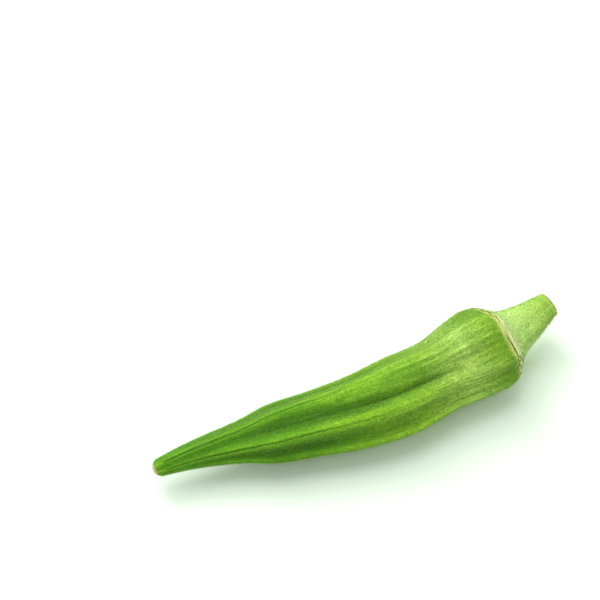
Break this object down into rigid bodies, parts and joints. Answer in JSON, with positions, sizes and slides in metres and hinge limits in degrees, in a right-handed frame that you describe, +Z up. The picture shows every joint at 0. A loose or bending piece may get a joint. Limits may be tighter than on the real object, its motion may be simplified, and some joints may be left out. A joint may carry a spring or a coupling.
{
  "type": "okra pod",
  "caption": "fresh okra pod lying on its side: a tapering ribbed green capsule with a blunt tip, a scar ring, a flared cap and a short cut stalk",
  "frame": {"origin": "on the surface that the pod lies on, under the middle of its bounding box", "axes": "+X runs along the chord from the tip to the cut stalk, +Z is up away from the surface, and -Y is the outer side of the bend"},
  "size_m": [0.0972, 0.021, 0.0192],
  "materials": {
    "pod_skin": "soft semi-matte yellow-green plant skin with fine pale down; a pale mint cap and a thin brown scar line"
  },
  "bodies": {
    "root": {"okra_pod": "pod_skin"}
  },
  "joints": []
}
